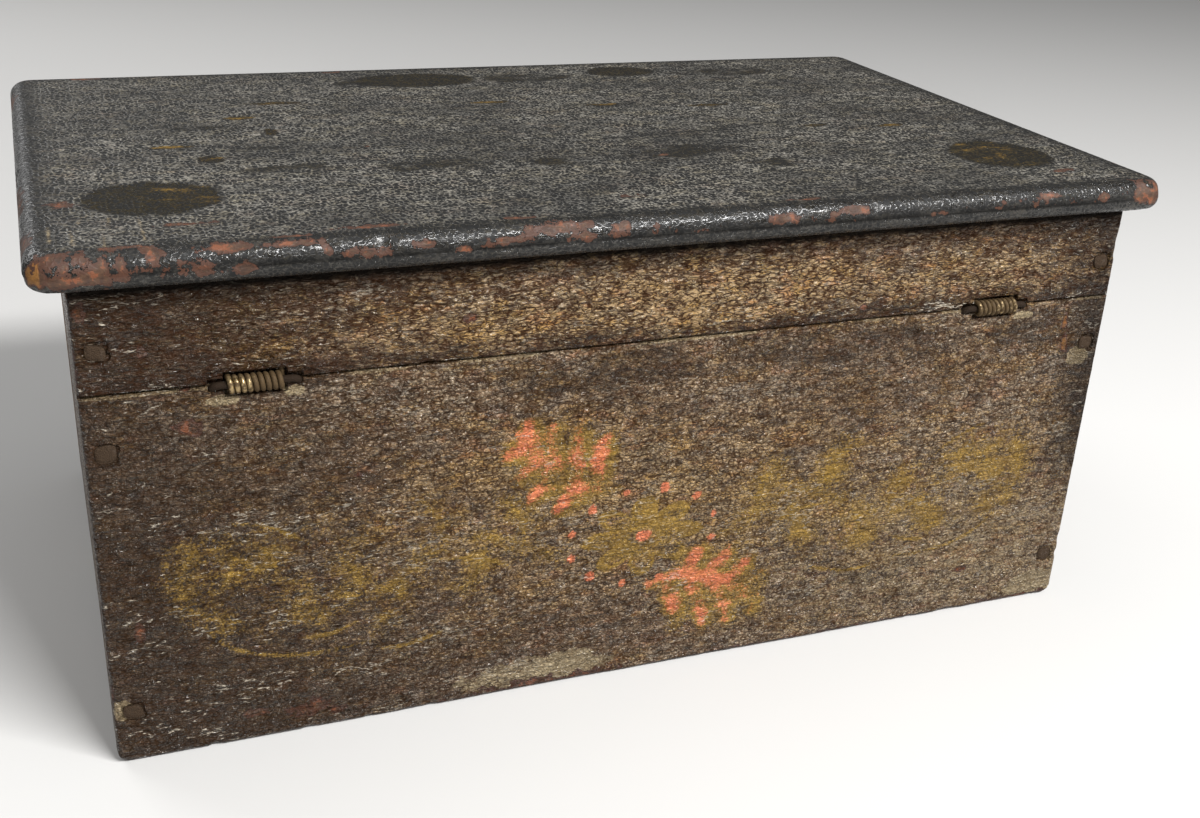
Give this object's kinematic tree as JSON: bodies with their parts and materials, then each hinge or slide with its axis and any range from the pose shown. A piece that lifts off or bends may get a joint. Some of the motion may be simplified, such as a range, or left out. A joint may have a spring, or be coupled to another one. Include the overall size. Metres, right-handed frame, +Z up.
{
  "type": "deed box",
  "caption": "Painted pine deed box with nailed board sides, a rimmed lid with a bullnosed overhanging top, wound wire hinges and a small box lock inside the front.",
  "frame": {"origin": "on the ground under the middle of the box", "axes": "+Z up; the lock and keyhole are on the -Y side, the hinges on the +Y side, and +X runs along the long side"},
  "size_m": [0.483, 0.297, 0.2193],
  "materials": {
    "brown_painted_pine": "dark brown oil paint gone to alligator crackle, semi-gloss, worn through at the edges",
    "black_painted_pine": "black oil paint with fine crackle, satin, chipped to reddish wood along the nosing",
    "bare_pine": "unpainted aged pine",
    "rusted_iron": "cut iron nails, dark with rust",
    "brass_wire": "drawn brass wire, tarnished, rubbed bright on the crests",
    "lock_iron": "filed sheet iron, browned with age",
    "spring_steel": "blued spring strip"
  },
  "bodies": {
    "box": {"back_board": "brown_painted_pine", "front_board": "brown_painted_pine", "left_end_board": "brown_painted_pine", "right_end_board": "brown_painted_pine", "bottom_board": "bare_pine", "body_corner_nails": "rusted_iron", "bottom_nails": "rusted_iron", "hinge_pins": "brass_wire", "lock_plate": "lock_iron", "lock_case": "lock_iron", "lock_key_pin": "lock_iron", "lock_ward": "lock_iron", "lock_stump": "lock_iron", "lock_screws": "lock_iron"},
    "lid": {"lid_top_board": "black_painted_pine", "lid_back_rail": "brown_painted_pine", "lid_front_rail": "brown_painted_pine", "lid_left_rail": "brown_painted_pine", "lid_right_rail": "brown_painted_pine", "lid_corner_nails": "rusted_iron", "lid_top_nails": "rusted_iron", "hinge_coils": "brass_wire", "lock_strike": "lock_iron", "lock_strike_screws": "lock_iron"},
    "bolt": {"lock_bolt": "lock_iron", "lock_bolt_spring": "spring_steel"}
  },
  "joints": [
    {"name": "lid_hinge", "type": "hinge", "parent": "box", "child": "lid", "pos_m": [0, 0.1375, 0.16215], "axis": [-1, 0, 0], "range_deg": [0, 165]},
    {"name": "bolt_slide", "type": "slide", "parent": "box", "child": "bolt", "axis": [1, 0, 0], "range_m": [0, 0.01]}
  ]
}
